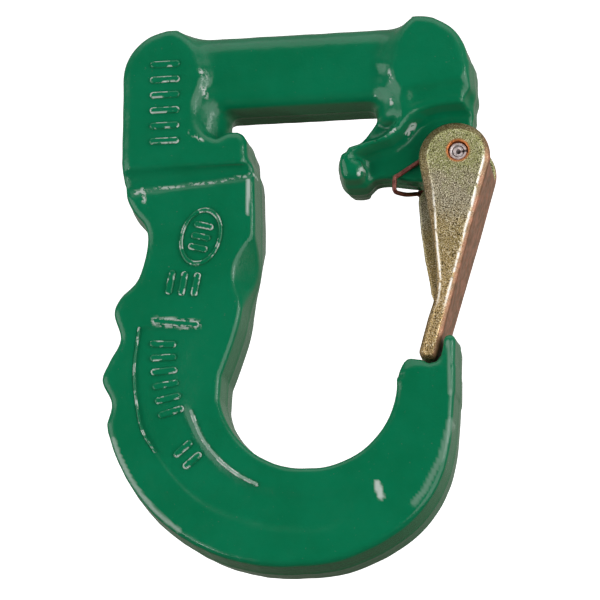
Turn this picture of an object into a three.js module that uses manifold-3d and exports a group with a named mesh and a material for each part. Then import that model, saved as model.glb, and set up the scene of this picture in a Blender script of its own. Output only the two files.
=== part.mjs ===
// Web-sling hook: one drop forging with a wide sling bar on top and a spring-loaded safety latch.
// Millimetres, +Z up, front towards -Y. The origin is the middle of the sling bar's underside,
// where a sling's eye bears when the hook hangs in it.
import * as THREE from "three";
import { mergeVertices } from "three/addons/utils/BufferGeometryUtils.js";
import Module from "manifold-3d";

const wasm = await Module();
wasm.setup();

// ---- Driving dimensions ----

// Half thicknesses of the forging, front to back.
const HEAD_HALF = 13; // the two head blocks at the ends of the sling bar
const RIDGE_HALF = 12; // the ridge that runs from the right head block along the arm
const BODY_HALF = 10.5; // shank, bowl and nose
const BAR_HALF = 9.8; // sling bar
const LUG_HALF = 5; // recessed arm and latch lug
const FORGED_EDGE = 2.5; // rounding of the forging's long edges

// Heights and widths of the head.
const HEAD_LEFT = -51.3;
const HEAD_RIGHT = 47.8;
const LOBE_HEIGHT = 9.4; // centre height of the round outer corners
const LEFT_LOBE_RADIUS = 14.3;
const RIGHT_LOBE_RADIUS = 14.4;
const LEFT_STEP = -20; // underside of the left head block
const RIGHT_STEP = 3; // underside of the right head block
const BAR_HEIGHT = 22.6;

// Sling slot, between the bar and the two ears.
const SLOT_LEFT = -21.5;
const SLOT_RIGHT = 20.6;
const LEFT_EAR = -14.6;
const RIGHT_EAR = 10.2;
const LEFT_EAR_TOP = -8;

// Bowl: two inner arcs with a level facet between them, where the load bears.
const BOWL_FLOOR = -105;
const HEEL_BOWL = { x: 1.4, radius: 24 }; // inner arc on the shank side
const TOE_BOWL = { x: 3, radius: 23 }; // inner arc on the nose side
const FACET_HALF = 2.4;
const FACET_X = 2.2;
const BOTTOM = -133;
const HEEL_RADIUS = 52.2; // outer arc on the shank side
const HEEL_X = -3.8;
const SEAT = -76.9; // flat ledge behind the nose, below the latch's tip
const NOSE_RIGHT = 43.2;

// Latch and its pin.
const PIN = { x: 44.4, z: -17 };
const LATCH_LEAN = 16; // degrees that the latch leans inwards when closed
const LATCH_HALF = 11.2;
const CHEEK_THICKNESS = 2.8;
const CHEEK_RADIUS = 10; // round end of a cheek
const CHEEK_MIDDLE = { x: -0.8, z: -1.5 }; // middle of that round end, from the pin
const WEB_OUTER = 9; // distance of the web's outer face from the pin
const WEB_THICKNESS = 2.4;
const TONGUE_INNER = 4.1; // distance of the tongue's inner face from the pin
const TONGUE_TOP = -43; // where the cheeks run into the tongue
const LATCH_TIP = -59.2;
const LATCH_EDGE = 1.4;
const LUG_RADIUS = 5.8; // the lug's round end, just inside the web

// Spring pins and spring.
const OUTER_PIN = { radius: 2.5, bore: 1.75, length: 20.8 };
const INNER_PIN = { radius: 1.45, bore: 0.75, length: 20.2 };
const PIN_SLOT = 0.8; // width of the lengthwise slot in each spring pin
const HOLE_GAP = 0.3; // between the pin and the holes that it goes through
const WIRE_RADIUS = 0.6;
const COIL_RADIUS = 3.6;
const COIL_PITCH = 1.28;
const COIL_TURNS = 1.25;

const ARC_STEP = 9; // degrees of arc in one facet of an outline

// ---- Geometry helpers ----

// A closed geometry as a solid that can be joined and cut.
function solid(geometry) {
  geometry.deleteAttribute("normal");
  geometry.deleteAttribute("uv");
  const merged = mergeVertices(geometry, 1e-4);
  return new wasm.Manifold(
    new wasm.Mesh({
      numProp: 3,
      vertProperties: new Float32Array(merged.attributes.position.array),
      triVerts: new Uint32Array(merged.index.array),
    }),
  );
}

function joined(solids) {
  return solids.reduce((whole, next) => whole.add(next));
}

// The finished solid as a geometry for a mesh.
function geometryOf(body) {
  const mesh = body.getMesh();
  const geometry = new THREE.BufferGeometry();
  geometry.setAttribute("position", new THREE.BufferAttribute(mesh.vertProperties, 3));
  geometry.setIndex(new THREE.BufferAttribute(mesh.triVerts, 1));
  geometry.computeVertexNormals();
  return geometry;
}

// Points of an arc in X and Z. Angles are in degrees, from +X towards +Z.
function arc(x, z, radius, from, to) {
  const steps = Math.max(2, Math.round(Math.abs(to - from) / ARC_STEP));
  return Array.from({ length: steps + 1 }, (_, step) => {
    const angle = THREE.MathUtils.degToRad(from + ((to - from) * step) / steps);
    return [x + radius * Math.cos(angle), z + radius * Math.sin(angle)];
  });
}

// A smooth curve through the given points.
function smooth(points, steps) {
  const curve = new THREE.SplineCurve(points.map(([x, z]) => new THREE.Vector2(x, z)));
  return curve.getPoints(steps).map((point) => [point.x, point.y]);
}

// A plate of constant thickness, centred on Y = 0, with its edges rounded by a radius.
function plate(points, half, edge) {
  const outline = new THREE.Shape(points.map(([x, z]) => new THREE.Vector2(x, z)));
  const geometry = new THREE.ExtrudeGeometry(outline, {
    depth: 2 * (half - edge),
    bevelEnabled: edge > 0,
    bevelThickness: edge,
    bevelSize: edge,
    bevelOffset: -edge,
    bevelSegments: 2,
  });
  geometry.translate(0, 0, edge - half);
  geometry.rotateX(Math.PI / 2);
  return solid(geometry);
}

// A round rod along Y, at a place in X and Z.
function rod(x, z, radius, length, sides = 32) {
  return solid(new THREE.CylinderGeometry(radius, radius, length, sides).translate(x, 0, z));
}

// ---- Hook body ----

// Shank, bowl and nose, with the finger grips down the back of the shank.
function shankAndBowl() {
  const fingerGrips = smooth(
    [
      [HEAD_LEFT + 1.1, -16],
      [-50.4, -24.5],
      [-48.2, -29.8],
      [-44.7, -34.6],
      [-44.3, -40],
      [-46.4, -49.3],
      [-51.4, -54.7],
      [-53.1, -59.5],
      [-51.4, -66.8],
      [-54.3, -73],
      [-56.2, -78.6],
      [-54, -85.2],
      [-54.7, -90.2],
    ],
    44,
  );
  const heel = arc(HEEL_X, BOTTOM + HEEL_RADIUS, HEEL_RADIUS, 191.5, 266);
  const toe = smooth(
    [
      [HEEL_X, BOTTOM],
      [8, -132.4],
      [18.6, -129],
      [27.4, -124],
      [33.8, -118],
      [38.2, -111],
      [40.8, -103.5],
      [42, -95],
      [42, -86],
      [NOSE_RIGHT - 0.7, SEAT - 1],
    ],
    24,
  );
  const seat = [
    [NOSE_RIGHT - 4, SEAT],
    [30, SEAT],
    [27.6, -77.9],
  ];
  const bowl = [
    ...arc(TOE_BOWL.x, BOWL_FLOOR + TOE_BOWL.radius, TOE_BOWL.radius, 5, -82),
    [FACET_X + FACET_HALF, BOWL_FLOOR],
    [FACET_X - FACET_HALF, BOWL_FLOOR],
    ...arc(HEEL_BOWL.x, BOWL_FLOOR + HEEL_BOWL.radius, HEEL_BOWL.radius, -98, -170),
  ];
  const innerShank = smooth(
    [
      [-21.8, -78.5],
      [-19, -71],
      [-16.8, -63.6],
      [-15.4, -57],
      [-13.1, -49],
      [-12.5, -42],
      [-12.6, -30],
      [-12.9, -21.5],
      [-14.6, -16.6],
      [-18.6, -14],
    ],
    18,
  );
  return plate([...fingerGrips, ...heel, ...toe, ...seat, ...bowl, ...innerShank], BODY_HALF, FORGED_EDGE);
}

// The nose's upright lip, which stops the latch from swinging out.
function noseLip() {
  const points = [
    [35.5, SEAT - 4],
    [36.2, SEAT + 0.1],
    [38, -75.4],
    [38.9, -72.4],
    ...arc(NOSE_RIGHT - 2.1, -71, 2.1, 170, 0),
    [NOSE_RIGHT - 0.8, SEAT - 4],
  ];
  return plate(points, BODY_HALF, 1.2);
}

// Left head block: the round outer corner, the column below it and the ear beside the slot.
function leftHead() {
  const points = [
    [HEAD_LEFT, LOBE_HEIGHT],
    [HEAD_LEFT, -15.5],
    [HEAD_LEFT + 1.2, LEFT_STEP],
    [LEFT_EAR, LEFT_STEP],
    [LEFT_EAR, -12.6],
    [LEFT_EAR - 1.3, -9.1],
    [LEFT_EAR - 2.9, LEFT_EAR_TOP],
    [-24.5, LEFT_EAR_TOP],
    [-26.6, -5],
    [-26.6, 18],
    [-32, 22.4],
    ...arc(HEAD_LEFT + LEFT_LOBE_RADIUS, LOBE_HEIGHT, LEFT_LOBE_RADIUS, 90, 174),
  ];
  return plate(points, HEAD_HALF, FORGED_EDGE);
}

// Right head block: only the round corner at the bar's height, because the ridge below it is thinner.
function rightHead() {
  const points = [
    [23.5, RIGHT_STEP],
    [HEAD_RIGHT - 0.2, RIGHT_STEP],
    ...arc(HEAD_RIGHT - RIGHT_LOBE_RADIUS, LOBE_HEIGHT, RIGHT_LOBE_RADIUS, 0, 96),
    [29, 22.8],
    [23.5, 19],
  ];
  return plate(points, HEAD_HALF, FORGED_EDGE);
}

// The ridge: from the right head block down the column and along the top of the arm to its round end.
function ridge() {
  const points = [
    [HEAD_RIGHT, 9],
    [24.2, 9],
    [24.2, -5],
    [23.2, -9.2],
    [20.8, -10.9],
    [14.4, -12.4],
    [12, -13.2],
    [RIGHT_EAR + 0.2, -15.6],
    [RIGHT_EAR - 0.2, -21.6],
    [11.8, -23.8],
    [17.6, -23.2],
    [18.4, -19],
    [21, -16.4],
    [26.5, -14.2],
    [30.6, -10.9],
    [34.4, -6.6],
    [38.6, -4.6],
    [HEAD_RIGHT, -4.4],
  ];
  return plate(points.reverse(), RIDGE_HALF, 2);
}

// The recessed arm and the lug around the latch's pin.
function armAndLug() {
  const points = [
    [HEAD_RIGHT, 2],
    [26, 2],
    [14, -15],
    [12.8, -23.4],
    [17.6, -23.8],
    [20.6, -21.9],
    [23.8, -21.7],
    [32, -23.2],
    [38.5, -23.3],
    ...arc(PIN.x, PIN.z, LUG_RADIUS, -105, 12),
    [HEAD_RIGHT + 0.4, -10],
  ];
  return plate(points, LUG_HALF, 1);
}

// One end of the slot: a half-round wall, so that the sling isn't cut.
function slotEnd(x, width, from, to) {
  const outline = new THREE.Shape();
  outline.absellipse(0, 0, width, HEAD_HALF - 0.4, 0, 2 * Math.PI);
  const geometry = new THREE.ExtrudeGeometry(outline, {
    depth: to - from,
    bevelEnabled: false,
    curveSegments: 14,
  });
  return solid(geometry.translate(x, 0, from));
}

// The sling bar: flat below and in front, with rounded long edges.
function slingBar() {
  const lower = 2.6;
  const upper = 6;
  const reach = BAR_HALF;
  const points = [
    ...arc(reach - lower, lower, lower, -90, 0),
    ...arc(reach - upper, BAR_HEIGHT - upper, upper, 0, 90),
    ...arc(upper - reach, BAR_HEIGHT - upper, upper, 90, 180),
    ...arc(lower - reach, lower, lower, 180, 270),
  ];
  const outline = new THREE.Shape(points.map(([y, z]) => new THREE.Vector2(y, z)));
  const length = 64;
  const geometry = new THREE.ExtrudeGeometry(outline, { depth: length, bevelEnabled: false });
  geometry.rotateX(Math.PI / 2);
  geometry.rotateZ(Math.PI / 2);
  return solid(geometry.translate(-length / 2, 0, 0));
}

function hookBody() {
  const forging = joined([
    shankAndBowl(),
    noseLip(),
    leftHead(),
    rightHead(),
    ridge(),
    armAndLug(),
    slingBar(),
    slotEnd(SLOT_LEFT - 7.5, 7.5, LEFT_EAR_TOP - 4, 18),
    slotEnd(SLOT_RIGHT + 5.6, 5.6, -4, 18),
  ]);
  return forging.subtract(rod(PIN.x, PIN.z, OUTER_PIN.radius + HOLE_GAP, 4 * LUG_HALF));
}

// ---- Latch, in its own frame: the pin is the origin and the tongue points along -Z ----

function latch() {
  const tip = 1.9;
  const outline = [
    ...arc(CHEEK_MIDDLE.x, CHEEK_MIDDLE.z, CHEEK_RADIUS, 12, 204),
    [-6.1, -13.5],
    [0.3, -27.4],
    [TONGUE_INNER, TONGUE_TOP],
    ...arc(TONGUE_INNER + tip, LATCH_TIP + tip, tip, 180, 270),
    ...arc(WEB_OUTER - tip, LATCH_TIP + tip, tip, 270, 360),
  ];
  const space = [
    [-30, 20],
    [-30, TONGUE_TOP - 6],
    [TONGUE_INNER - 1, TONGUE_TOP + 4],
    [TONGUE_INNER, TONGUE_TOP + 5.5],
    [WEB_OUTER - WEB_THICKNESS - 1, TONGUE_TOP + 8.5],
    [WEB_OUTER - WEB_THICKNESS, TONGUE_TOP + 11],
    [WEB_OUTER - WEB_THICKNESS, -0.5],
    [WEB_OUTER + 6, -0.5],
    [WEB_OUTER + 6, 20],
  ];
  // The rear cheek is wider than the front one on the side of the hook's throat.
  const flare = [
    [-5, -6],
    [-10.3, -6],
    [-9.8, -12.4],
    [-7.6, -19],
    [-4.5, -26.6],
    [0.6, -37],
    [4, -43],
    [6, -43],
    [4, -30],
  ];
  const cheekMiddle = LATCH_HALF - CHEEK_THICKNESS / 2;
  return plate(outline, LATCH_HALF, LATCH_EDGE)
    .subtract(plate(space, LATCH_HALF - CHEEK_THICKNESS, 0))
    .add(plate(flare, CHEEK_THICKNESS / 2, 0.5).translate([0, cheekMiddle, 0]))
    .subtract(rod(0, 0, OUTER_PIN.radius + HOLE_GAP, 4 * LATCH_HALF));
}

// ---- Spring pins: rolled tubes with a lengthwise slot ----

function springPin({ radius, bore, length }) {
  const half = Math.asin(PIN_SLOT / 2 / radius);
  const outline = new THREE.Shape();
  outline.absarc(0, 0, radius, half, 2 * Math.PI - half, false);
  outline.absarc(0, 0, bore, 2 * Math.PI - half, half, true);
  const geometry = new THREE.ExtrudeGeometry(outline, {
    depth: length - 0.6,
    bevelThickness: 0.3,
    bevelSize: 0.12,
    bevelOffset: -0.12,
    bevelSegments: 1,
    curveSegments: 12,
  });
  geometry.translate(0, 0, 0.3 - length / 2);
  geometry.rotateX(Math.PI / 2);
  return solid(geometry);
}

// ---- Spring: two coils round the pin, joined by a bridge that hooks under the arm ----

// The path of one half, from the bridge's middle to the free end, in front (side -1) or behind (side 1).
function springHalf(side) {
  const inner = LUG_HALF + WIRE_RADIUS + 0.3;
  // Lower and upper corner of the leg that comes up beside the arm.
  const [low, high] = side < 0 ? [[26.3, -25.4], [26.2, -22]] : [[29.6, -25], [30.4, -22]];
  const points = [
    [27.9, 0, -25.5],
    [low[0] - side * 0.5, inner - 1.8, low[1]],
    [low[0] - side * 0.1, inner - 0.5, low[1] + 0.2],
    [low[0], inner, low[1] + 0.8],
    [high[0], inner, high[1] - 0.6],
    [high[0] + 0.5, inner, high[1] + 0.1],
    [high[0] + 1.4, inner, high[1] + 0.5],
    [PIN.x - 6.5, inner, PIN.z + 1.9],
  ];
  const start = 105;
  const steps = 26;
  for (let step = 0; step <= steps; step += 1) {
    const turned = (COIL_TURNS * step) / steps;
    const angle = THREE.MathUtils.degToRad(start - 360 * turned);
    points.push([
      PIN.x + COIL_RADIUS * Math.cos(angle),
      inner + COIL_PITCH * turned,
      PIN.z + COIL_RADIUS * Math.sin(angle),
    ]);
  }
  const outer = inner + COIL_PITCH * COIL_TURNS;
  for (const [across, down] of [[3.1, 5], [2.4, 9], [1.5, 14.5]]) {
    points.push([PIN.x + across, outer, PIN.z - down]);
  }
  return points.map(([x, y, z]) => new THREE.Vector3(x, side * y, z));
}

function latchSpring() {
  const front = springHalf(-1).reverse();
  const back = springHalf(1).slice(1);
  const path = new THREE.CatmullRomCurve3([...front, ...back], false, "centripetal");
  const section = new THREE.Shape();
  section.absarc(0, 0, WIRE_RADIUS, 0, 2 * Math.PI, false);
  const geometry = new THREE.ExtrudeGeometry(section, {
    steps: 116,
    extrudePath: path,
    curveSegments: 4,
    bevelEnabled: false,
  });
  return solid(geometry);
}

// ---- Assembly ----

const enamel = { color: 0x0e6b45, roughness: 0.3, metalness: 0 };
const chromate = { color: 0xa8924e, roughness: 0.35, metalness: 1 };
const springSteel = { color: 0x4a2622, roughness: 0.5, metalness: 0.6 };
const pinSteel = { color: 0x8f8c88, roughness: 0.4, metalness: 1 };

function part(name, body, look) {
  const mesh = new THREE.Mesh(geometryOf(body), new THREE.MeshStandardMaterial(look));
  mesh.name = name;
  return mesh;
}

const group = new THREE.Group();
group.add(part("hook_body", hookBody(), enamel));

const latchMesh = part("latch", latch(), chromate);
latchMesh.position.set(PIN.x, 0, PIN.z);
latchMesh.rotation.y = THREE.MathUtils.degToRad(LATCH_LEAN);
group.add(latchMesh);

group.add(part("latch_spring", latchSpring(), springSteel));

for (const [name, size] of [["outer_spring_pin", OUTER_PIN], ["inner_spring_pin", INNER_PIN]]) {
  const pin = part(name, springPin(size), pinSteel);
  pin.position.set(PIN.x, 0, PIN.z);
  group.add(pin);
}

export default group;
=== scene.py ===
"""Web-sling hook with a spring-loaded latch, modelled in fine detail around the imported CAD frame.

Shapes are worked out in millimetres in the CAD frame (X right, Z up, front towards -Y) and turned into
metres when their meshes are made. The forging and the latch are distance fields, negative inside the
metal, so that every corner gets the rounding and every joint the fillet that a forging has.
"""

import math

import bpy
import numpy as np
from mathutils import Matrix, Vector


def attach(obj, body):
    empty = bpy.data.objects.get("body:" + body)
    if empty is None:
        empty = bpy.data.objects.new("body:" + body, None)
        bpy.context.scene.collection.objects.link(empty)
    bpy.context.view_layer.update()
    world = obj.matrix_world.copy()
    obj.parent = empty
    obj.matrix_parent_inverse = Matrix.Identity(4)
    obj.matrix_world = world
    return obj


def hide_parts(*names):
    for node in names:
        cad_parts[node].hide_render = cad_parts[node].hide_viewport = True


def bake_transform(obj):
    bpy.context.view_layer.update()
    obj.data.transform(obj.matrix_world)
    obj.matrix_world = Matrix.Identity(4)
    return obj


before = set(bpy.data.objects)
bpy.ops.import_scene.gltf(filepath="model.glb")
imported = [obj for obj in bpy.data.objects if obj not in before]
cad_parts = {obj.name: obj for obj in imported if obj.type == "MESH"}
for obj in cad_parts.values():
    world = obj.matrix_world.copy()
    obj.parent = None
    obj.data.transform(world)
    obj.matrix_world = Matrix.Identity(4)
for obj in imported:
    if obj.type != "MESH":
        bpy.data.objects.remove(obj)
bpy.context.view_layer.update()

MM = 0.001

# ---- Driving dimensions, in millimetres ----

HEAD_HALF = 13.0  # head blocks, from the middle to the front face
RIDGE_HALF = 12.0  # ridge from the right head block along the arm
BODY_HALF = 10.5  # shank, bowl and nose
BAR_HALF = 9.8  # sling bar
LUG_HALF = 5.0  # arm and latch lug
BODY_DRAFT = 0.05  # how far a side leans in per millimetre away from the parting line
HEAD_DRAFT = 0.03
HEAD_EDGE = 2.6  # rounding of the head blocks' edges
BODY_EDGE = 1.7

HEAD_LEFT = -51.3
HEAD_RIGHT = 47.8
LOBE_HEIGHT = 9.4
LEFT_LOBE = 14.3
RIGHT_LOBE = 14.4
LEFT_STEP = -21.0
LEFT_EAR = -14.6
LEFT_EAR_TOP = -8.0
RIGHT_EAR = 10.2
SLOT_LEFT = -21.5
SLOT_RIGHT = 20.6
BAR_HEIGHT = 22.6

BOTTOM = -133.0
BOWL_FLOOR = -105.0
SEAT = -76.9
NOSE_RIGHT = 43.2

PIN = (44.4, -17.0)
LATCH_LEAN = 16.0
LATCH_HALF = 11.2
CHEEK_INNER = 8.4
CHEEK_RADIUS = 10.0
CHEEK_MIDDLE = (-0.8, -1.5)  # middle of the cheeks' round top, from the pin
WEB_OUTER = 9.2
WEB_THICKNESS = 2.4
TONGUE_INNER = 4.1
TONGUE_TOP = -43.0
LATCH_TIP = -59.2
LUG_RADIUS = 5.8
PIN_HOLE = 2.8
OUTER_PIN = (2.5, 1.75, 20.8)  # radius, radius of the bore and length
INNER_PIN = (1.45, 0.75, 20.2)

HOOK_GRID = 0.7  # spacing of the grid that the forging's surface is drawn on
LATCH_GRID = 0.36
MARK_GRID = 0.3


# ---- Outlines ----


def arc(x, z, radius, start, end, step=5):
    """Points of an arc in X and Z, with angles in degrees from +X towards +Z."""
    count = max(2, round(abs(end - start) / step))
    angles = np.radians(np.linspace(start, end, count + 1))
    return [(x + radius * math.cos(a), z + radius * math.sin(a)) for a in angles]


def curve(points, steps=4):
    """A smooth curve through the points, with some steps between each two."""
    p = np.array(points, float)
    p = np.vstack([2 * p[0] - p[1], p, 2 * p[-1] - p[-2]])
    made = []
    for a, b, c, d in zip(p, p[1:], p[2:], p[3:]):
        for t in np.arange(steps) / steps:
            bend = 2 * a - 5 * b + 4 * c - d
            rest = -a + 3 * b - 3 * c + d
            made.append(tuple(0.5 * (2 * b + (c - a) * t + bend * t * t + rest * t**3)))
    return made + [tuple(p[-2])]


# ---- Distance fields ----


def outline_distance(points, x, z):
    """Distance from a closed outline in X and Z, negative inside."""
    x = np.asarray(x, np.float32)
    z = np.asarray(z, np.float32)
    nearest = np.full(np.broadcast(x, z).shape, 1e9, np.float32)
    inside = np.zeros(nearest.shape, bool)
    for (ax, az), (bx, bz) in zip(points, points[1:] + points[:1]):
        dx, dz = bx - ax, bz - az
        if dx * dx + dz * dz < 1e-9:
            continue
        px, pz = x - np.float32(ax), z - np.float32(az)
        along = np.clip((px * dx + pz * dz) / (dx * dx + dz * dz), 0, 1)
        nearest = np.minimum(nearest, (px - along * dx) ** 2 + (pz - along * dz) ** 2)
        if dz:
            inside ^= ((az > z) != (bz > z)) & (x < ax + (z - az) * (dx / dz))
    return np.sqrt(nearest) * np.where(inside, -1, 1)


def line_distance(points, x, z):
    """Distance from an open line in X and Z."""
    nearest = 1e9
    for (ax, az), (bx, bz) in zip(points, points[1:]):
        dx, dz = bx - ax, bz - az
        along = np.clip(((x - ax) * dx + (z - az) * dz) / (dx * dx + dz * dz), 0, 1)
        nearest = np.minimum(nearest, (x - ax - along * dx) ** 2 + (z - az - along * dz) ** 2)
    return np.sqrt(nearest)


def rounded(side, face, radius):
    """Where two faces meet, with the corner between them rounded."""
    a, b = side + radius, face + radius
    return np.minimum(np.maximum(a, b), 0) + np.hypot(np.maximum(a, 0), np.maximum(b, 0)) - radius


def plate(points, half, edge, x, y, z, draft=0.0, base=0.0):
    """A plate round the plane Y = 0 with rounded edges, leaning in by draft beyond a depth."""
    depth = np.abs(y)
    side = outline_distance(points, x, z) + draft * np.maximum(depth - base, 0)
    return rounded(side, depth - half, edge)


def merged(a, b, fillet):
    """Both bodies, with a fillet where they meet."""
    mix = np.clip(0.5 + 0.5 * (b - a) / fillet, 0, 1)
    return b * (1 - mix) + a * mix - fillet * mix * (1 - mix)


def carved(a, b, fillet):
    """Body a with body b taken out of it."""
    return -merged(-a, b, fillet)


def step_up(value, low, high):
    """0 below low, 1 above high and smooth between them."""
    t = np.clip((value - low) / (high - low), 0, 1)
    return t * t * (3 - 2 * t)


# ---- The forging ----

FINGER_GRIPS = curve(
    [
        (HEAD_LEFT + 1.1, -16),
        (-50.4, -24.5),
        (-48.2, -29.8),
        (-44.7, -34.6),
        (-44.1, -40),
        (-46.4, -49.3),
        (-51.4, -54.7),
        (-53.3, -59.5),
        (-51.3, -66.8),
        (-54.3, -73),
        (-56.3, -78.6),
        (-53.6, -85.2),
        (-54.8, -91),
    ],
    5,
)
HEEL_RADIUS = 52.2
HEEL_MIDDLE = (-3.8, BOTTOM + HEEL_RADIUS)
HEEL = arc(*HEEL_MIDDLE, HEEL_RADIUS, 194, 266)
TOE = curve(
    [
        (HEEL_MIDDLE[0], BOTTOM),
        (8, -132.4),
        (18.6, -129),
        (27.4, -124),
        (33.8, -118),
        (38.2, -111),
        (40.8, -103.5),
        (42, -95),
        (42.7, -86),
        (NOSE_RIGHT - 0.2, SEAT - 1),
    ],
    4,
)
BOWL = arc(3, BOWL_FLOOR + 23, 23, 5, -88) + arc(1.4, BOWL_FLOOR + 24, 24, -92, -170)
INNER_SHANK = curve(
    [
        (-21.8, -78.5),
        (-19, -71),
        (-16.8, -63.6),
        (-15.4, -57),
        (-13.1, -49),
        (-12.5, -42),
        (-12.6, -30),
        (-12.9, -21),
        (-14.1, -17),
        (-18, -14.8),
    ],
    4,
)
SEAT_EDGE = [(NOSE_RIGHT - 4, SEAT), (31.4, SEAT)] + arc(31.4, SEAT - 4.6, 4.6, 100, 168, 12)
SHANK = FINGER_GRIPS + HEEL + TOE + SEAT_EDGE + BOWL + INNER_SHANK

NOSE = [
    (35, SEAT - 9),
    (35.6, SEAT),
    *curve([(37, SEAT + 0.4), (38.1, -75.2), (38.7, -73.2), (39, -71.4)], 3),
    *arc(NOSE_RIGHT - 2.1, -71.1, 2.1, 170, 0, 12),
    (NOSE_RIGHT - 0.2, SEAT - 1),
    (NOSE_RIGHT - 0.5, SEAT - 9),
]

LEFT_HEAD = [
    (HEAD_LEFT, LOBE_HEIGHT),
    (HEAD_LEFT, -15.5),
    (HEAD_LEFT + 0.4, -18.4),
    (HEAD_LEFT + 1.2, LEFT_STEP),
    (LEFT_EAR + 0.2, LEFT_STEP),
    (LEFT_EAR, -12.6),
    *curve([(LEFT_EAR - 0.2, -11.2), (LEFT_EAR - 1.3, -9.1), (LEFT_EAR - 2.9, LEFT_EAR_TOP)], 3),
    (-20.6, LEFT_EAR_TOP + 0.1),
    *curve([(-23.8, -9.4), (-27, -7.6), (-28.8, -3.8), (-29.1, 0.4), (-28, 4.6), (-27.2, 8)], 3),
    *curve([(-28.2, 12), (-30, 17), (-32.4, 21), (-35.4, 23.6)], 3),
    *arc(HEAD_LEFT + LEFT_LOBE, LOBE_HEIGHT, LEFT_LOBE, 96, 174),
]
SEAT_BUMP = curve(
    [(27.2, -80), (28.1, -77.2), (29.3, -75.9), (30.6, -75.6), (32.2, -76), (34, -76.6), (36, -80)],
    4,
)
RIGHT_HEAD = [
    (25.4, 10),
    (27, 5),
    (30.5, 0.6),
    (36, -0.4),
    (HEAD_RIGHT - 0.1, 1.6),
    *arc(HEAD_RIGHT - RIGHT_LOBE, LOBE_HEIGHT, RIGHT_LOBE, 0, 96),
    *curve([(31.6, 23.2), (29.6, 21), (27.4, 16.6), (26, 12)], 3),
]
RIDGE = [
    (HEAD_RIGHT, 9),
    (25.2, 9),
    *curve([(25, 4), (25.4, -1), (26, -4.4), (25, -8), (22.4, -10.2), (18.6, -11.3), (14.6, -12.3)], 3),
    (12.6, -12.9),
    (12, -14.2),
    *curve([(10.9, -15), (RIGHT_EAR + 0.1, -17.2), (RIGHT_EAR + 0.1, -19.6)], 3),
    *curve([(12, -20.6), (14.4, -19.6), (17, -17.2), (21.5, -15.2), (26, -14)], 3),
    *curve([(29, -11.8), (31.6, -8.8), (34.6, -6.4), (38.6, -5), (43, -4.6)], 3),
    (HEAD_RIGHT, -4.6),
]
BULB = [
    *curve([(11, -15), (RIGHT_EAR - 0.1, -18), (RIGHT_EAR, -21.4), (11.2, -23.6), (12.6, -24.6)], 3),
    *curve([(15, -24.8), (17, -24.5), (18.4, -23.4), (18.8, -20.4), (17.6, -17)], 3),
]
ARM = [
    (HEAD_RIGHT, 2),
    (26, 2),
    (14, -15),
    (12.8, -24),
    (17.6, -24.2),
    *curve([(19, -23.2), (20.4, -22.2), (22.4, -21.9), (25, -22.1), (32, -23.3), (38.5, -23.4)], 3),
    *arc(*PIN, LUG_RADIUS, -105, 12, 9),
    (HEAD_RIGHT + 0.3, -10),
]

# Where the facet meets the front face: X and Z. Above and below its ends the facet cuts nothing.
FACET_LINE = curve(
    [(-12, -64), (-16.4, -60), (-18, -56), (-19.2, -51.5), (-18.6, -46), (-15.6, -41), (-11, -36)],
    4,
)
FACET_EDGE = np.array([(-75, 60), *((z, x) for x, z in FACET_LINE), (-28, 60)]).T

# Lines of the relief on the face of the shank and bowl: the sunk panel's two sides and a raised rib.
PANEL_OUTER = curve(
    [
        (-45.4, -64.2),
        (-46.6, -75.6),
        (-45.9, -84.8),
        (-44.1, -93.4),
        (-40.4, -99.7),
        (-34.7, -107.5),
        (-27, -114.5),
        (-16.8, -119.4),
        (-6.1, -122.2),
        (4, -122.8),
        (16, -121.5),
    ],
    3,
)
PANEL_INNER = curve(
    [
        (16, -111.6),
        (8, -113.2),
        (-2, -113.2),
        (-12.4, -110.4),
        (-20, -105.8),
        (-26, -99.6),
        (-30.4, -91.6),
        (-32, -84),
        (-31.4, -74),
        (-30, -64.2),
    ],
    3,
)
PANEL = PANEL_OUTER + PANEL_INNER
RIB = curve([(-30.4, -88.6), (-27.4, -96), (-22.6, -102.4), (-17.4, -106.8), (-12, -109.8)], 4)
OUTER_LINE = PANEL_OUTER[:13]
RAISED_LINES = [(RIB, 0.55, 0.5), (OUTER_LINE, 0.35, 0.25)]  # with their half widths and heights
RELIEF = 0.55  # depth of the panel

BADGE = (-28.1, -38.5)
BADGE_SIZE = (5.4, 7.9)
BADGE_TILT = math.radians(-15)

# Lines painted pale in patches, with their half widths: chips of worn enamel on the heads' slanted edges,
# and painted highlights on the shank's upper left corner and along the crest of the valley below the left
# head.
WORN_AND_GLINT_PATCHES = [
    ([(-47.1, -24.3), (-45, -23.8), (-44.6, -27)], 0.8),
    ([(-45, -23.9), (-22.2, -22.3), (-11.5, -20.2)], 0.35),
    ([(25.4, 7), (26, 4.4)], 0.6),
    ([(29.6, -10.4), (31.8, -7.6)], 0.6),
    ([(16.6, -22.4), (17.5, -20.4)], 0.6),
    ([(25.9, -0.4), (26, -2.4)], 0.5),
    ([(-28.4, 10.4), (-27.2, 8.6)], 0.6),
    ([(-27.6, 5.4), (-27, 3)], 0.6),
    ([(-31, -8.4), (-27.6, -10.8)], 0.5),
]
# Lines painted pale all along, with their half widths and how pale they are. The first is a pale mark on
# the bowl's face; the others are painted highlights on the shank's inner edge, the rib, the heel's rim and
# the bowl's and the nose's right edges.
PALE_AND_HIGHLIGHT_LINES = [
    ([(21.1, -110.8), (22, -114.2)], 1.1, 1.0),
    ([(-14.7, -22.5), (-14.9, -32)], 0.6, 0.9),
    (RIB, 0.5, 0.45),
    (arc(*HEEL_MIDDLE, HEEL_RADIUS - 1.6, 197, 234), 0.75, 0.4),
    ([(41.2, -94), (38.5, -104), (33.9, -113), (31, -116.4)], 1.0, 0.25),
    ([(40.9, -71.5), (41, -86)], 0.6, 0.3),
]

MARK_RADIUS = 0.95  # half width of a raised bar
MARK_HEIGHT = 0.58

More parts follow.
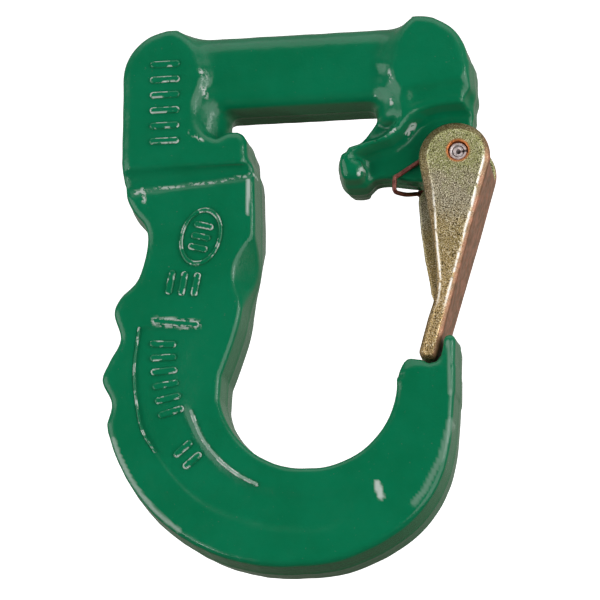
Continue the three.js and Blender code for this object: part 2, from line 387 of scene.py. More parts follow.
# Plain raised bars where a maker's lettering would be: X, Z, half length, tilt in degrees and the
# distance of the face under them.
LONG_BAR = (-34.9, -63.2, 5.6, -7.2, BODY_HALF)
PANEL_FACE = BODY_HALF - RELIEF
RAISED_BARS = [LONG_BAR]
RAISED_BARS += [(-38.4, 12.5 - 4.6 * k, 3.3, 0, HEAD_HALF) for k in range(6)]
RAISED_BARS += [(-36.6 + 3.6 * k, -51.4 - 0.5 * k, 2.6, 80, BODY_HALF) for k in range(3)]
RAISED_BARS += [(-38.6 + 0.1 * k * k, -69 - 3.9 * k, 2.8, -4 + 4 * k, PANEL_FACE) for k in range(6)]
RAISED_BARS += [(-32.6 + 2.6 * k, -99 - 3.4 * k, 2.2, 40, PANEL_FACE) for k in range(2)]
RAISED_BARS += [(BADGE[0] + 0.8 * k, BADGE[1] + 3.2 * k, 1.9, -15, BODY_HALF) for k in (-1, 0, 1)]

# Round valleys across the forging: X, Z and half width at each end.
LEFT_VALLEY = ((-54, -23, 2.6), (-11, -19.9, 1.5))
RIGHT_VALLEY = ((33, -1.2, 2.2), (52, 1.2, 2.2))


def shank_field(x, y, z):
    """Shank, bowl and nose. Part of the way down, the shank's inner edge is cut back to a slanted facet."""
    depth = np.abs(y)
    side = outline_distance(SHANK, x, z) + BODY_DRAFT * depth
    edge = np.interp(z, *FACET_EDGE)
    facet = 0.79 * (x - edge) + 0.613 * (depth - BODY_HALF)
    return carved(rounded(side, depth - BODY_HALF, BODY_EDGE), -facet, 0.9)


def panel_depth(x, y, z):
    """Depth of the sunk panel on the front face. It has a soft upper right side and fades at the toe."""
    panel = outline_distance(PANEL, x, z)
    softness = 0.7 + 4.5 * step_up(z, -92, -80) * step_up(x, -40, -34) + 1.2 * step_up(x, -36, -16)
    fade = 1 - step_up(x, 4, 16)
    depth = RELIEF * fade * step_up(-panel, -softness, softness)
    return depth * (y < 0)


def bar_ends(x, z, half, tilt):
    """The two ends of a raised bar's middle line."""
    dx, dz = half * math.cos(math.radians(tilt)), half * math.sin(math.radians(tilt))
    return [(x - dx, z - dz), (x + dx, z + dz)]


def line_mark(points, radius, height, edge, face):
    """The field of a raised line on the front face."""

    def field(x, y, z):
        side = line_distance(points, x, z) - radius
        return rounded(side, np.abs(y + face) - height, edge)

    return field


def badge_rim(x, y, z):
    """The field of the raised oval round the badge."""
    c, s = math.cos(BADGE_TILT), math.sin(BADGE_TILT)
    across = (x - BADGE[0]) * c + (z - BADGE[1]) * s
    up = -(x - BADGE[0]) * s + (z - BADGE[1]) * c
    reach = np.hypot(across / BADGE_SIZE[0], up / BADGE_SIZE[1])
    side = np.abs(reach - 1) * 5.6 - 0.5
    return rounded(side, np.abs(y + BODY_HALF) - MARK_HEIGHT, 0.3)


def slot_end(middle, width, low, high, x, y, z):
    """A half-round wall at one end of the sling slot, which doesn't cut the sling."""
    reach = np.hypot((x - middle) / width, y / (HEAD_HALF - 1))
    side = (reach - 1) * width * (0.55 + 0.45 * np.minimum(reach, 1))
    side = np.maximum(side, np.abs(x) - 38)
    return rounded(side, np.abs(z - (low + high) / 2) - (high - low) / 2, 2.5)


def sling_bar(x, y, z):
    """The bar across the top, with a flat underside."""
    middle = BAR_HEIGHT / 2
    radius = np.where(z > middle, 7.0, 3.2)
    section = rounded(np.abs(y) - BAR_HALF, np.abs(z - middle) - middle, radius)
    return np.maximum(section, np.abs(x) - 34)


def groove(start, end, face, depth, x, y, z):
    """A round valley in the front and the back face. Its ends give X, Z and half of its width."""
    (ax, az, a_width), (bx, bz, b_width) = start, end
    along = np.clip(((x - ax) * (bx - ax) + (z - az) * (bz - az)) / ((bx - ax) ** 2 + (bz - az) ** 2), 0, 1)
    away = np.hypot(x - ax - along * (bx - ax), z - az - along * (bz - az))
    width = a_width + along * (b_width - a_width)
    radius = (width * width + depth * depth) / (2 * depth)
    return np.hypot(away, np.abs(y) - (face - depth + radius)) - radius


def hook_field(x, y, z):
    """The whole forging."""
    shank = shank_field(x, y, z)
    shank = merged(shank, plate(NOSE, BODY_HALF, BODY_EDGE, x, y, z, BODY_DRAFT), 0.8)
    shank = merged(shank, plate(SEAT_BUMP, BODY_HALF - 0.6, 1.2, x, y, z), 1.5)
    left = plate(LEFT_HEAD, HEAD_HALF, HEAD_EDGE, x, y, z, HEAD_DRAFT)
    shank = merged(shank, left, 2.4)
    shank = carved(shank, groove(*LEFT_VALLEY, BODY_HALF, 0.75, x, y, z), 1.2)
    right = plate(RIGHT_HEAD, HEAD_HALF, HEAD_EDGE, x, y, z, HEAD_DRAFT)
    ridge = plate(RIDGE, RIDGE_HALF, 1.5, x, y, z, 0.3, LUG_HALF)
    bulb = plate(BULB, RIDGE_HALF - 0.6, 2.2, x, y, z, 0.12)
    arm = plate(ARM, LUG_HALF, 1.2, x, y, z)
    ridge = merged(merged(ridge, arm, 2.4), bulb, 1.8)
    right = merged(ridge, right, 4.5)
    right = carved(right, groove(*RIGHT_VALLEY, RIDGE_HALF + 0.2, 0.7, x, y, z), 2)
    bar = sling_bar(x, y, z)
    bar = merged(bar, slot_end(SLOT_LEFT - 11, 11, LEFT_EAR_TOP - 4, 6, x, y, z), 3)
    bar = merged(bar, slot_end(SLOT_RIGHT + 8, 8, -7, 6, x, y, z), 3)
    blend = 0.8 + 5.2 * step_up(z, 0, 12)
    body = merged(merged(bar, shank, blend), right, blend)
    body = np.maximum(body, np.abs(y) - HEAD_HALF)
    hole = np.hypot(x - PIN[0], z - PIN[1]) - PIN_HOLE
    body = np.maximum(body, -hole)
    parting = 0.13 * np.exp(-((y / 0.8) ** 2))
    lumps = 0.05 * np.sin(0.55 * x + 1.3 * np.sin(0.23 * z)) * np.sin(0.47 * z + 1.1 * np.sin(0.31 * x))
    return body - parting * step_up(np.abs(hole), 0.5, 2) - lumps + panel_depth(x, y, z)


# ---- The latch, in its own frame: the pin is the origin and the tongue points along -Z ----

TIP = 2.2
LATCH_OUTLINE = [
    *arc(*CHEEK_MIDDLE, CHEEK_RADIUS, 0, 204),
    (-6.1, -13.5),
    (-2.5, -21.1),
    *curve([(0.3, -27.4), (3, -35), (TONGUE_INNER + 0.2, -41.5), (TONGUE_INNER, TONGUE_TOP - 5)], 4),
    *arc(TONGUE_INNER + TIP, LATCH_TIP + TIP, TIP, 180, 270, 12),
    *arc(WEB_OUTER - TIP, LATCH_TIP + TIP, TIP, 270, 360, 12),
]
LATCH_SPACE = [
    (-30, 20),
    (-30, TONGUE_TOP - 6),
    (TONGUE_INNER - 1, TONGUE_TOP + 4),
    *curve([(4, TONGUE_TOP + 5), (5, TONGUE_TOP + 7.5), (WEB_OUTER - WEB_THICKNESS, TONGUE_TOP + 12)], 4),
    (WEB_OUTER - WEB_THICKNESS, -0.5),
    (WEB_OUTER + 6, -0.5),
    (WEB_OUTER + 6, 20),
]

# How much further the latch's throat side reaches out at the back than at the front: heights and widths.
BACK_FLARE = np.array([(-44, 0), (-37, 3.4), (-28, 4.4), (-20, 4.2), (-12, 3.4), (-8, 2.4), (-2, 0)]).T

BEVEL_DEPTH = 0.7  # depth of the bevel round a cheek's face, as a share of its width


def bevel_width(x, z):
    """Width of the bevel round a cheek's face. It is widest on the throat side near the pin."""
    throat_side = 0.5 + 2.2 * step_up(z, -36, -8)
    outer_side = 1.4 + 0.3 * step_up(z, -16, -2)
    return throat_side + (outer_side - throat_side) * step_up(x, -2, 6)


def latch_side(x, y, z):
    """Distance from the latch's outline, with the flare of its throat side towards the back."""
    flare = np.interp(z, *BACK_FLARE) * np.clip((y + 9) / 18, 0, 1) * (1 - step_up(x, 2, 6))
    return outline_distance(LATCH_OUTLINE, x, z) - flare


def latch_field(x, y, z):
    """Two cheeks joined by a web and a solid tongue."""
    side = latch_side(x, y, z)
    taper = 0.068 * np.maximum(-z - 18, 0)
    face = np.abs(y) - LATCH_HALF + taper
    width = bevel_width(x, z)
    depth = BEVEL_DEPTH * width
    bevel = ((side + width) / width + face / depth) / np.hypot(1 / width, 1 / depth)
    whole = carved(rounded(side, face, 0.6), -bevel, 0.35)
    space = rounded(outline_distance(LATCH_SPACE, x, z), np.abs(y) - CHEEK_INNER, 0.8)
    hole = np.hypot(x, z) - PIN_HOLE
    return carved(carved(whole, space, 0.5), hole, 0.4)


def turned(points, degrees):
    """Points turned about Y by the right-hand rule."""
    a = math.radians(degrees)
    x, y, z = points.T
    return np.stack([x * math.cos(a) + z * math.sin(a), y, -x * math.sin(a) + z * math.cos(a)], 1)


# ---- Turning a distance field into a mesh ----

CUBE_EDGES = [
    (a, b)
    for a in np.ndindex(2, 2, 2)
    for b in np.ndindex(2, 2, 2)
    if sum(b) - sum(a) == 1 and all(q >= p for p, q in zip(a, b))
]


def surface(field, low, high, spacing):
    """Points and quads of a field's surface: one point in each grid cell that the surface crosses."""
    axes = [np.arange(a, b + spacing, spacing, dtype=np.float32) for a, b in zip(low, high)]
    gx, gy, gz = np.ix_(*axes)
    value = np.asarray(field(gx, gy, gz), np.float32)
    inside = value < 0
    shape = [n - 1 for n in value.shape]

    def corner(grid, offset):
        return grid[tuple(slice(o, o + n) for o, n in zip(offset, shape))]

    count = sum(corner(inside, o).astype(np.int8) for o in np.ndindex(2, 2, 2))
    cells = np.argwhere((count > 0) & (count < 8))
    index = np.full(shape, -1, np.int32)
    index[tuple(cells.T)] = np.arange(len(cells))
    total = np.zeros((len(cells), 3))
    hits = np.zeros(len(cells))
    for a, b in CUBE_EDGES:
        va = value[tuple((cells + a).T)]
        vb = value[tuple((cells + b).T)]
        crossed = (va < 0) != (vb < 0)
        share = np.where(crossed, va / np.where(crossed, va - vb, 1), 0)
        place = np.array(a) + share[:, None] * (np.array(b) - np.array(a))
        total += place * crossed[:, None]
        hits += crossed
    points = (cells + total / hits[:, None]) * spacing + np.array(low)

    quads = []
    for axis in range(3):
        u, v = (axis + 1) % 3, (axis + 2) % 3
        first = [slice(1, n) for n in shape]
        second = [slice(1, n) for n in shape]
        first[axis] = slice(0, shape[axis])
        second[axis] = slice(1, shape[axis] + 1)
        a, b = inside[tuple(first)], inside[tuple(second)]
        where = np.argwhere(a != b)
        leaving = a[tuple(where.T)]
        base = where + 1
        base[:, axis] -= 1
        ring = []
        for du, dv in ((0, 0), (1, 0), (1, 1), (0, 1)):
            cell = base.copy()
            cell[:, u] -= du
            cell[:, v] -= dv
            ring.append(index[tuple(cell.T)])
        ring = np.stack(ring, 1)
        ring[~leaving] = ring[~leaving][:, ::-1]
        quads.append(ring)
    return points, np.concatenate(quads)


def settled(field, points, rounds=3):
    """Points moved onto the field's surface."""
    step = 0.02
    for _ in range(rounds):
        value = field(*points.T)
        slope = np.stack([field(*(points + step * axis).T) - value for axis in np.eye(3)], 1) / step
        size = np.maximum((slope**2).sum(1), 0.25)
        points = points - np.clip(value / size, -0.3, 0.3)[:, None] * slope
    return points


def mesh_object(name, points, faces, smooth=True):
    """An object from points in millimetres and lists of corner numbers."""
    mesh = bpy.data.meshes.new(name)
    mesh.from_pydata((np.asarray(points) * MM).tolist(), [], [list(map(int, f)) for f in faces])
    mesh.validate()
    mesh.polygons.foreach_set("use_smooth", [smooth] * len(mesh.polygons))
    mesh.update()
    made = bpy.data.objects.new(name, mesh)
    bpy.context.scene.collection.objects.link(made)
    return made


def point_value(obj, name, values):
    """One number for each point of a mesh, which its material reads."""
    attribute = obj.data.attributes.new(name, "FLOAT", "POINT")
    attribute.data.foreach_set("value", np.asarray(values, np.float32))


def normals_of(obj):
    found = np.zeros(len(obj.data.vertices) * 3, np.float32)
    obj.data.vertices.foreach_get("normal", found)
    return found.reshape(-1, 3)


def bulge(obj, points):
    """How convex the surface is at each point, in 1/mm."""
    normals = normals_of(obj)
    ends = np.zeros(len(obj.data.edges) * 2, np.int32)
    obj.data.edges.foreach_get("vertices", ends)
    total = np.zeros(len(points))
    count = np.zeros(len(points))
    a, b = ends.reshape(-1, 2).T
    for here, there in ((a, b), (b, a)):
        away = points[there] - points[here]
        fall = -2 * (away * normals[here]).sum(1) / (away**2).sum(1)
        np.add.at(total, here, fall)
        np.add.at(count, here, 1)
    return total / np.maximum(count, 1)


# ---- Material helpers ----


class Nodes:
    """A material's node tree, with short ways to add the nodes used here."""

    def __init__(self, name):
        self.material = bpy.data.materials.new(name)
        self.material.use_nodes = True
        self.tree = self.material.node_tree
        self.shader = self.tree.nodes["Principled BSDF"]
        self.place = self.tree.nodes.new("ShaderNodeTexCoord").outputs["Object"]

    def link(self, source, target):
        self.tree.links.new(source, target)

    def noise(self, per_mm, detail=3, roughness=0.5):
        """Noise with about per_mm spots to the millimetre."""
        node = self.tree.nodes.new("ShaderNodeTexNoise")
        node.inputs["Scale"].default_value = per_mm / MM
        node.inputs["Detail"].default_value = detail
        node.inputs["Roughness"].default_value = roughness
        self.link(self.place, node.inputs["Vector"])
        return node.outputs["Fac"]

    def value(self, name):
        node = self.tree.nodes.new("ShaderNodeAttribute")
        node.attribute_name = name
        return node.outputs["Fac"]

    def spread(self, source, low, high, start=0.0, end=1.0):
        """The source's range low to high, stretched to start to end and kept inside it."""
        node = self.tree.nodes.new("ShaderNodeMapRange")
        node.interpolation_type = "SMOOTHSTEP"
        for name, number in zip(("From Min", "From Max", "To Min", "To Max"), (low, high, start, end)):
            node.inputs[name].default_value = number
        self.link(source, node.inputs["Value"])
        return node.outputs["Result"]

    def math(self, kind, a, b):
        node = self.tree.nodes.new("ShaderNodeMath")
        node.operation = kind
        for socket, source in zip(node.inputs, (a, b)):
            if isinstance(source, (int, float)):
                socket.default_value = source
            else:
                self.link(source, socket)
        return node.outputs["Value"]

    def mix(self, share, a, b):
        """Colour a where share is 0 and colour b where it is 1."""
        node = self.tree.nodes.new("ShaderNodeMix")
        node.data_type = "RGBA"
        self.link(share, node.inputs["Factor"])
        for socket, source in ((node.inputs[6], a), (node.inputs[7], b)):
            if isinstance(source, tuple):
                socket.default_value = (*source, 1)
            else:
                self.link(source, socket)
        return node.outputs[2]

    def bump(self, height, distance, below=None, strength=1.0):
        """A bump of that height in millimetres, on top of another bump."""
        node = self.tree.nodes.new("ShaderNodeBump")
        node.inputs["Strength"].default_value = strength
        node.inputs["Distance"].default_value = distance * MM
        self.link(height, node.inputs["Height"])
        if below is not None:
            self.link(below, node.inputs["Normal"])
        return node.outputs["Normal"]

    def finish(self, color, roughness, normal, metallic=0.0):
        self.link(color, self.shader.inputs["Base Color"])
        self.link(normal, self.shader.inputs["Normal"])
        if isinstance(roughness, float):
            self.shader.inputs["Roughness"].default_value = roughness
        else:
            self.link(roughness, self.shader.inputs["Roughness"])
        if isinstance(metallic, float):
            self.shader.inputs["Metallic"].default_value = metallic
        else:
            self.link(metallic, self.shader.inputs["Metallic"])
        return self.material


# ---- Materials ----


def enamel():
    """Glossy green enamel over a forged skin, thin and chipped on the sharpest edges, with painted
    highlights along some edges, lines and marks and a painted reflection on the side walls.
    """
    n = Nodes("green_enamel")
    clouds = n.spread(n.noise(0.05, 4, 0.6), 0.35, 0.65)
    green = n.mix(clouds, (0.0014, 0.146, 0.06), (0.002, 0.162, 0.07))
    # Painted reflection: side walls, whose normals turn away from the front and back, are painted a greyer
    # green, as if reflecting the floor.
    side = n.spread(n.value("side"), 0.55, 0.95)
    green = n.mix(n.math("MULTIPLY", side, 0.6), green, (0.045, 0.14, 0.068))
    specks = n.spread(n.noise(1.1, 2, 0.6), 0.7, 0.78)
    green = n.mix(n.math("MULTIPLY", specks, 0.4), green, (0.1, 0.15, 0.12))
    chips = n.spread(n.noise(0.8, 3), 0.44, 0.54)
    broken = n.math("MULTIPLY", n.spread(n.noise(0.1, 3, 0.6), 0.6, 0.66), chips)
    # Pale patches on the sharpest convex edges: partly chipped enamel, partly painted highlights where
    # edges catch the light.
    worn_and_glint = n.math("MULTIPLY", n.spread(n.value("convex"), 0.45, 0.6), broken)
    worn_and_glint_marks = n.math("MULTIPLY", n.value("mark"), n.spread(n.noise(0.35, 3), 0.5, 0.56))
    worn_and_glint = n.math("MAXIMUM", worn_and_glint, worn_and_glint_marks)
    worn_and_glint = n.math("MAXIMUM", worn_and_glint, n.math("MULTIPLY", n.value("rubbed_and_glint"), chips))
    worn_and_glint = n.math("MAXIMUM", worn_and_glint, n.value("pale"))
    # Painted highlights and worn enamel alike get this pale colour.
    color = n.mix(worn_and_glint, green, (0.45, 0.52, 0.47))
    gloss = n.spread(n.noise(0.3, 3), 0.35, 0.65, 0.17, 0.22)
    rough = n.math("ADD", gloss, n.math("MULTIPLY", worn_and_glint, 0.2))
    normal = n.bump(n.noise(0.12, 3, 0.55), 0.2)
    normal = n.bump(n.noise(1.3, 3, 0.6), 0.05, normal)
    n.shader.inputs["Specular IOR Level"].default_value = 0.35
    return n.finish(color, rough, normal)


def chromate():
    """Yellow chromate over zinc on a grainy blank: greenish near the pin, greyer below, then gold. Shade is
    painted on the bevels, a reflection on the web and highlights along the faces' edges.
    """
    n = Nodes("yellow_chromate")
    drift = n.math("MULTIPLY", n.math("SUBTRACT", n.noise(0.12, 4, 0.6), 0.5), 0.5)
    along = n.math("ADD", n.value("along"), drift)
    upper = n.mix(n.spread(along, 0.06, 0.2), (0.5, 0.5, 0.2), (0.53, 0.46, 0.3))
    lower = n.mix(n.spread(along, 0.4, 0.75), (0.54, 0.4, 0.16), (0.62, 0.42, 0.17))
    color = n.mix(n.spread(along, 0.22, 0.42), upper, lower)
    # Painted shade: the bevels round the cheeks' faces are painted dark brown, and the bright grains are
    # mostly kept off them.
    bevel = n.value("bevel")
    color = n.mix(n.math("MULTIPLY", bevel, 0.85), color, (0.15, 0.085, 0.03))
    grain = n.noise(3.2, 2, 0.6)
    color = n.mix(n.spread(grain, 0.38, 0.5), (0.045, 0.03, 0.012), color)
    off_bevel = n.math("SUBTRACT", 1.0, n.math("MULTIPLY", bevel, 0.7))
    bright = n.math("MULTIPLY", n.spread(grain, 0.55, 0.66), off_bevel)
    color = n.mix(bright, color, (0.92, 0.84, 0.66))
    # Painted reflection: the web, the latch's outward facing side wall, is painted a mottled reddish brown.
    web = n.spread(n.value("web"), 0.3, 0.8)
    reflection_mottle = n.spread(n.noise(0.35, 4, 0.6), 0.35, 0.65)
    color = n.mix(web, color, n.mix(reflection_mottle, (0.4, 0.17, 0.1), (0.2, 0.1, 0.05)))
    color = n.mix(n.value("ring"), color, (0.6, 0.2, 0.06))
    # Painted highlight: a near-white line, in patches, along the crease between the cheeks' flat faces and
    # their bevels.
    line = n.math("MULTIPLY", n.value("line"), n.spread(n.noise(0.5, 3), 0.35, 0.5))
    color = n.mix(line, color, (0.95, 0.92, 0.86))
    rough = n.spread(n.noise(0.8, 3), 0.35, 0.7, 0.3, 0.45)
    calm = n.math("SUBTRACT", 1.0, n.math("MULTIPLY", n.math("MAXIMUM", web, line), 0.9))
    normal = n.bump(n.math("MULTIPLY", grain, calm), 0.16)
    metal = n.math("SUBTRACT", 0.8, n.math("MULTIPLY", n.math("MAXIMUM", web, line), 0.5))
    return n.finish(color, rough, normal, metal)


def wire():
    """Brown, oxidised spring wire with draw marks."""
    n = Nodes("spring_wire")
    color = n.mix(n.spread(n.noise(0.7, 4, 0.6), 0.35, 0.65), (0.13, 0.032, 0.026), (0.3, 0.1, 0.075))
    rough = n.spread(n.noise(1.5, 3), 0.3, 0.7, 0.3, 0.5)
    return n.finish(color, rough, n.bump(n.noise(4, 3), 0.03), 0.4)


def pin_steel():
    """Bare spring-pin steel with dull grey ends."""
    n = Nodes("pin_steel")
    color = n.mix(n.spread(n.noise(0.9, 4, 0.6), 0.35, 0.65), (0.55, 0.48, 0.47), (0.95, 0.88, 0.87))
    rough = n.spread(n.noise(2.5, 3), 0.3, 0.7, 0.25, 0.45)
    return n.finish(color, rough, n.bump(n.noise(3, 3), 0.04), 0.3)


# ---- Pieces ----


def placed(obj, material, body, slot, *nodes):
    """Gives a finished piece its material and its body, and hides the CAD nodes that it stands for. The
    slot is not used.
    """
    obj.data.materials.append(material)
    if body:
        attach(obj, body)
    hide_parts(*nodes)
    return obj


def joined(parts):
    """Several sets of points and faces as one."""
    points, faces, total = [], [], 0
    for some_points, some_faces in parts:
        points.append(some_points)
        faces.append(some_faces + total)
        total += len(some_points)
    return np.concatenate(points), np.concatenate(faces)


def mark_mesh(field, low, high, face):
    """A mark's mesh, drawn between two corners in X and Z, on a face that far from the middle."""
    points, faces = surface(field, (low[0], -face - 1, low[1]), (high[0], -face + 1, high[1]), MARK_GRID)
    return settled(field, points), faces


def raised_marks():
    """The meshes of the oval, the bars and the thin lines that stand out of the front face."""
    middle, reach = np.array(BADGE), max(BADGE_SIZE) + 1
    yield mark_mesh(badge_rim, middle - reach, middle + reach, BODY_HALF)
    for x, z, half, tilt, face in RAISED_BARS:
        field = line_mark(bar_ends(x, z, half, tilt), MARK_RADIUS, MARK_HEIGHT, 0.3, face)
        middle, reach = np.array((x, z)), half + 1.4
        yield mark_mesh(field, middle - reach, middle + reach, face)
    for line, radius, height in RAISED_LINES:
        field = line_mark(line, radius, height, min(radius, height) * 0.8, BODY_HALF)
        yield mark_mesh(field, np.min(line, axis=0) - 1, np.max(line, axis=0) + 1, BODY_HALF)


def near_line(line, reach, x, z):
    """1 along a line in X and Z, falling to 0 at its half width."""
    return 1 - step_up(line_distance(line, x, z), reach * 0.6, reach)


def hook():
    """The forging with its raised marks, its worn enamel, and the highlights and the reflection painted on
    its enamel.
    """
    points, faces = surface(hook_field, (-58, -14.5, -135), (52, 14.5, 26), HOOK_GRID)
    forged = len(points)
    points, faces = joined([(settled(hook_field, points), faces), *raised_marks()])
    obj = mesh_object("hook_forging", points, faces)
    convex = bulge(obj, points)
    point_value(obj, "convex", convex)
    # How far each point's normal turns from the front and back faces; the enamel paints a reflection on
    # these side walls with it.
    point_value(obj, "side", 1 - np.abs(normals_of(obj)[:, 1]))
    on_marks = np.arange(len(points)) >= forged
    # Convex edges of the raised marks, painted pale in patches: partly worn enamel, partly painted
    # highlights on the marks' edges.
    point_value(obj, "mark", on_marks * step_up(convex, 0.5, 0.9))

    x, y, z = points.T
    on_front = y < -4
    # Patches painted pale round the long bar's rim and along the lines above: partly worn enamel, partly
    # painted highlights.
    rim = np.abs(line_distance(bar_ends(*LONG_BAR[:4]), x, z) - MARK_RADIUS)
    rubbed_and_glint = 1 - step_up(rim, 0.2, 0.5)
    for line, reach in WORN_AND_GLINT_PATCHES:
        rubbed_and_glint = np.maximum(rubbed_and_glint, near_line(line, reach, x, z))
    point_value(obj, "rubbed_and_glint", rubbed_and_glint * on_front)
    # Pale lines painted all along: one mark on the bowl, and painted highlights along edges and the rib.
    pale = np.zeros(len(points))
    for line, reach, amount in PALE_AND_HIGHLIGHT_LINES:
        pale = np.maximum(pale, amount * near_line(line, reach, x, z))
    point_value(obj, "pale", pale * on_front)
    return placed(obj, enamel(), "hook", "enamel", "hook_body")


def latch():
    """The latch, with what its material reads: the way down it, its web and its bevels, which carry a
    painted reflection and painted shade, and its painted highlight lines.
    """
    points, faces = surface(latch_field, (-13, -12.5, -61), (12, 12.5, 12.5), LATCH_GRID)
    points = settled(latch_field, points)
    obj = mesh_object("latch_forging", turned(points, LATCH_LEAN) + np.array([PIN[0], 0, PIN[1]]), faces)
    x, y, z = points.T
    point_value(obj, "along", -z / 60)
    facing = turned(normals_of(obj), -LATCH_LEAN)
    # The web's outward facing side wall, where the chromate paints a reflection.
    point_value(obj, "web", facing[:, 0] * (x > 5))
    outward = facing[:, 1] * np.sign(y)
    # Bevels, where normals turn partly outward: the chromate paints shade on them.
    point_value(obj, "bevel", step_up(outward, 0.2, 0.5) * (1 - step_up(outward, 0.8, 0.95)))
    # The crease between a cheek's face and its bevel, where a highlight line is painted.
    line = np.abs(latch_side(x, y, z) + bevel_width(x, z) - 0.1)
    on_outer_side = step_up(z, -46, -40) * (1 - step_up(z, -2, 3))
    on_throat_side = step_up(z, -36, -33) * (1 - step_up(z, -22, -8))
    shown = np.where(x > 3, on_outer_side, on_throat_side)
    point_value(obj, "line", (1 - step_up(line, 0.1, 0.34)) * (outward > 0.6) * shown)
    point_value(obj, "ring", 1 - step_up(np.hypot(x, z), PIN_HOLE + 0.2, PIN_HOLE + 0.9))
    return placed(obj, chromate(), "latch", "chromate", "latch")


def spring_pin(name, radius, bore, length, node):
    """A tube rolled from strip, with an open seam and chamfered ends."""
    gap = 0.4 / radius
    around = np.linspace(gap, 2 * math.pi - gap, 57)
    lip = 0.18
    rings = []
    for y, inset in ((-1, lip), (-1 + 2 * lip / length, 0), (1 - 2 * lip / length, 0), (1, lip)):
        outer = [((radius - inset) * math.cos(a), (radius - inset) * math.sin(a)) for a in around]
        inner = [((bore + inset) * math.cos(a), (bore + inset) * math.sin(a)) for a in around[::-1]]
        rings.append([(PIN[0] + u, y * length / 2, PIN[1] + v) for u, v in outer + inner])
    size = len(rings[0])
    points = [p for ring in rings for p in ring]
    faces = []
    for ring in range(3):
        for k in range(size):
            a, b = ring * size + k, ring * size + (k + 1) % size
            faces.append((a + size, b + size, b, a))
    last = 3 * size
    for k in range(len(around) - 1):
        a, b, c, d = k, k + 1, size - 2 - k, size - 1 - k
        faces.append((a, b, c, d))
        faces.append((d + last, c + last, b + last, a + last))
    obj = mesh_object(name, points, faces)
    obj.data.set_sharp_from_angle(angle=math.radians(35))
    return placed(obj, pin_steel(), "hook", "pin_steel", node)


# Spring wire.
WIRE = 0.64
COIL_RADIUS = 3.6
COIL_PITCH = 1.28
COIL_TURNS = 1.25
BRIDGE = (28.6, -25.6)
# The bridge's lower and upper corners at the front (-1) and at the back (1).
BRIDGE_ENDS = {-1: ((25.9, -26.2), (26.1, -22)), 1: ((31.6, -24.2), (32.6, -21.4))}


def spring_half(side):
    """The wire's path from the bridge's middle to one free end."""
    inner = LUG_HALF + WIRE + 0.3
    (low_x, low_z), (high_x, high_z) = BRIDGE_ENDS[side]
    path = [
        (BRIDGE[0], 0, BRIDGE[1]),
        (low_x - side * 0.5, inner - 1.8, low_z),
        (low_x - side * 0.1, inner - 0.5, low_z + 0.2),
        (low_x, inner, low_z + 0.8),
        (high_x, inner, high_z - 0.6),
        (high_x + 0.5, inner, high_z + 0.1),
        (high_x + 1.4, inner, high_z + 0.5),
        (PIN[0] - 6.5, inner, PIN[1] + 1.9),
    ]
    for turned_by in np.linspace(0, COIL_TURNS, 31):
        a = math.radians(105 - 360 * turned_by)
        across, up = COIL_RADIUS * math.cos(a), COIL_RADIUS * math.sin(a)
        path.append((PIN[0] + across, inner + COIL_PITCH * turned_by, PIN[1] + up))
    outer = inner + COIL_PITCH * COIL_TURNS
    for across, up in ((3.1, -5), (2.4, -9), (1.5, -14.5)):
        path.append((PIN[0] + across, outer, PIN[1] + up))
    return [(x, side * y, z) for x, y, z in path]


def swept(name, path, radius, sides=14):
    """A closed round wire along a path, with slightly domed ends."""
    path = np.array(curve(path, 5))
    ahead = np.gradient(path, axis=0)
    ahead /= np.linalg.norm(ahead, axis=1)[:, None]
    across = np.array([0.0, 0.0, 1.0])
    rings = []
    ends = {0: 0.75, len(path) - 1: 0.75}
    for k, (centre, way) in enumerate(zip(path, ahead)):
        across = across - way * (across @ way)
        across /= np.linalg.norm(across)
        other = np.cross(way, across)
        reach = radius * ends.get(k, 1)
        for a in np.arange(sides) * 2 * math.pi / sides:
            rings.append(centre + reach * (math.cos(a) * across + math.sin(a) * other))
    faces = []
    for k in range(len(path) - 1):
        for s in range(sides):
            a, b = k * sides + s, k * sides + (s + 1) % sides
            faces.append((a, b, b + sides, a + sides))
    faces.append(tuple(range(sides))[::-1])
    faces.append(tuple(range((len(path) - 1) * sides, len(path) * sides)))
    return mesh_object(name, rings, faces)


def spring():
    """The double torsion spring. Its free legs lie along the inside of the latch and its coils stay on the
    pin.
    """
    path = spring_half(-1)[::-1] + spring_half(1)[1:]
    obj = swept("torsion_spring", path, WIRE)
    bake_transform(obj)
    return placed(obj, wire(), None, "spring_steel", "latch_spring")


hook()
latch()
spring()
spring_pin("outer_roll_pin", *OUTER_PIN, "outer_spring_pin")
spring_pin("inner_roll_pin", *INNER_PIN, "inner_spring_pin")


# ---- Stage, lights and camera ----

CAMERA_AZIMUTH = 9
CAMERA_ELEVATION = -16
CAMERA_DISTANCE = 0.84
TARGET = Vector((-0.00173, 0, -0.05506))


def direction(azimuth, elevation):
    """The way from the object towards a viewer at that azimuth and elevation."""
    a, e = math.radians(azimuth), math.radians(elevation)
    return Vector((math.sin(a) * math.cos(e), -math.cos(a) * math.cos(e), math.sin(e)))


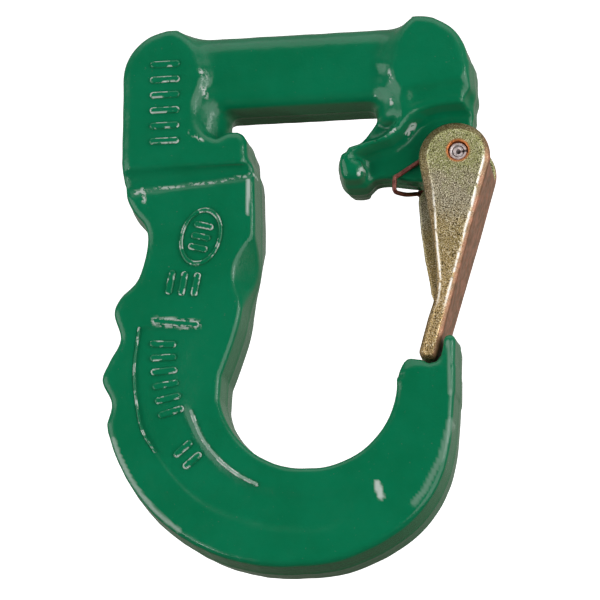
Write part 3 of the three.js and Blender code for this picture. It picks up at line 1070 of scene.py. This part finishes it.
def stage():
    """A round pale floor far below the hanging hook, which curves up into a backdrop on every side."""
    profile = [(1.2, -0.6), (1.6, -0.52), (1.85, -0.3), (1.95, 0.1), (2, 1.5)]
    sides = 64
    turns = np.arange(sides) * 2 * math.pi / sides
    points = [(1000 * r * math.cos(a), 1000 * r * math.sin(a), 1000 * z) for r, z in profile for a in turns]
    faces = [tuple(range(sides))]
    for ring in range(len(profile) - 1):
        for k in range(sides):
            a, b = ring * sides + k, ring * sides + (k + 1) % sides
            faces.append((a, a + sides, b + sides, b))
    floor = mesh_object("floor", points, faces)
    n = Nodes("pale_floor")
    n.shader.inputs["Base Color"].default_value = (0.9, 0.9, 0.9, 1)
    n.shader.inputs["Roughness"].default_value = 0.9
    n.shader.inputs["Emission Color"].default_value = (1, 1, 1, 1)
    n.shader.inputs["Emission Strength"].default_value = 1.0
    floor.data.materials.append(n.material)
    floor.visible_glossy = False
    floor.visible_diffuse = False
    floor.visible_shadow = False


def soft_light(name, azimuth, elevation, distance, width, height, power):
    """A white area light that faces the object, in degrees, metres and watts."""
    lamp = bpy.data.lights.new(name, "AREA")
    lamp.shape = "RECTANGLE"
    lamp.size, lamp.size_y = width, height
    lamp.energy = power
    obj = bpy.data.objects.new(name, lamp)
    way = direction(azimuth, elevation)
    obj.location = TARGET + way * distance
    obj.rotation_euler = way.to_track_quat("Z", "Y").to_euler()
    bpy.context.scene.collection.objects.link(obj)
    return obj


def surroundings():
    """A room for the gloss to show: dim in front, brownish below, pale above and behind."""
    world = bpy.data.worlds.new("room")
    bpy.context.scene.world = world
    world.use_nodes = True
    tree = world.node_tree
    place = tree.nodes.new("ShaderNodeTexCoord")
    split = tree.nodes.new("ShaderNodeSeparateXYZ")
    tree.links.new(place.outputs["Generated"], split.inputs[0])

    def blended(share, low, high, a, b):
        """Colour a below low and b above high."""
        spread = tree.nodes.new("ShaderNodeMapRange")
        spread.interpolation_type = "SMOOTHSTEP"
        spread.inputs["From Min"].default_value = low
        spread.inputs["From Max"].default_value = high
        tree.links.new(share, spread.inputs["Value"])
        mix = tree.nodes.new("ShaderNodeMix")
        mix.data_type = "RGBA"
        tree.links.new(spread.outputs["Result"], mix.inputs["Factor"])
        for socket, source in ((mix.inputs[6], a), (mix.inputs[7], b)):
            if isinstance(source, tuple):
                socket.default_value = (*source, 1)
            else:
                tree.links.new(source, socket)
        return mix.outputs[2]

    front = blended(split.outputs["Z"], -0.7, -0.3, (0.07, 0.06, 0.045), (0.04, 0.04, 0.04))
    front = blended(split.outputs["Z"], 0.4, 0.9, front, (0.6, 0.6, 0.6))
    back = blended(split.outputs["Z"], -0.35, 0.4, (0.09, 0.09, 0.065), (0.3, 0.3, 0.27))
    color = blended(split.outputs["Y"], -0.1, 0.5, front, back)
    tree.links.new(color, tree.nodes["Background"].inputs["Color"])


def camera():
    data = bpy.data.cameras.new("camera")
    data.lens = 180
    data.sensor_width = 36
    data.clip_start, data.clip_end = 0.05, 20
    obj = bpy.data.objects.new("camera", data)
    back = direction(CAMERA_AZIMUTH, CAMERA_ELEVATION)
    obj.location = TARGET + back * CAMERA_DISTANCE
    obj.rotation_euler = (-back).to_track_quat("-Z", "Y").to_euler()
    bpy.context.scene.collection.objects.link(obj)
    bpy.context.scene.camera = obj


stage()
surroundings()
soft_light("left_box", -58, -8, 1.1, 1.3, 1.1, 10.5)
soft_light("right_box", 60, -6, 1.1, 1.3, 1.1, 11.4)
soft_light("top_box", 8, 68, 1.3, 2.0, 1.1, 5.5)
back_box = soft_light("back_box", 172, 24, 1.3, 1.4, 1.2, 11)
back_box.visible_glossy = False  # it lights the back without a glare along the sides
soft_light("small_lower_left", -48, -40, 0.9, 0.1, 0.14, 1)
soft_light("small_right", 66, 14, 0.9, 0.06, 0.4, 1.2)
camera()
bpy.context.scene.view_settings.view_transform = "Standard"
